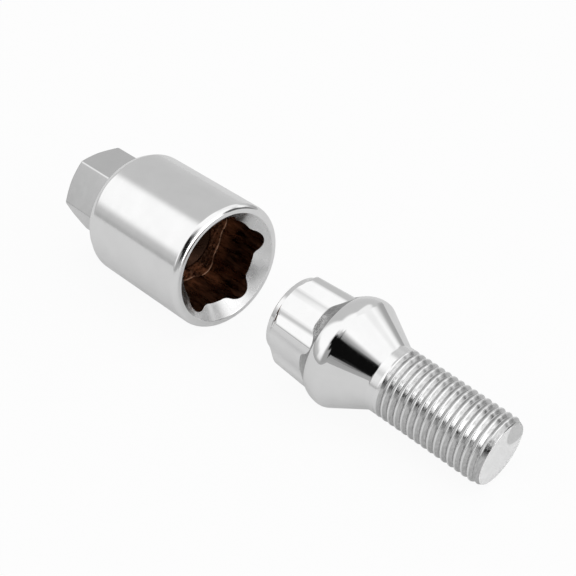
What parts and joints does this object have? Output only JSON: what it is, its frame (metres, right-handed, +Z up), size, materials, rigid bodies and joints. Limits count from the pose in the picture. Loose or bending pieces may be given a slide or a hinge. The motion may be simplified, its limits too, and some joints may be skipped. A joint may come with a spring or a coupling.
{
  "type": "locking wheel bolt with key",
  "caption": "Chrome-plated locking wheel bolt with a conical seat and a ribbed round head, and the key socket that fits it, lying apart.",
  "frame": {"origin": "on the surface that both pieces lie on, under the middle of the pair", "axes": "+X along the key's axis from its hexagon to its mouth, towards the bolt; +Z up; +Y completes the right-handed frame"},
  "size_m": [0.1138, 0.0274, 0.0274],
  "materials": {
    "key_chrome": "bright plated",
    "bolt_chrome": "bright plated"
  },
  "bodies": {
    "root": {"key_socket": "key_chrome", "lock_bolt": "bolt_chrome"}
  },
  "joints": []
}
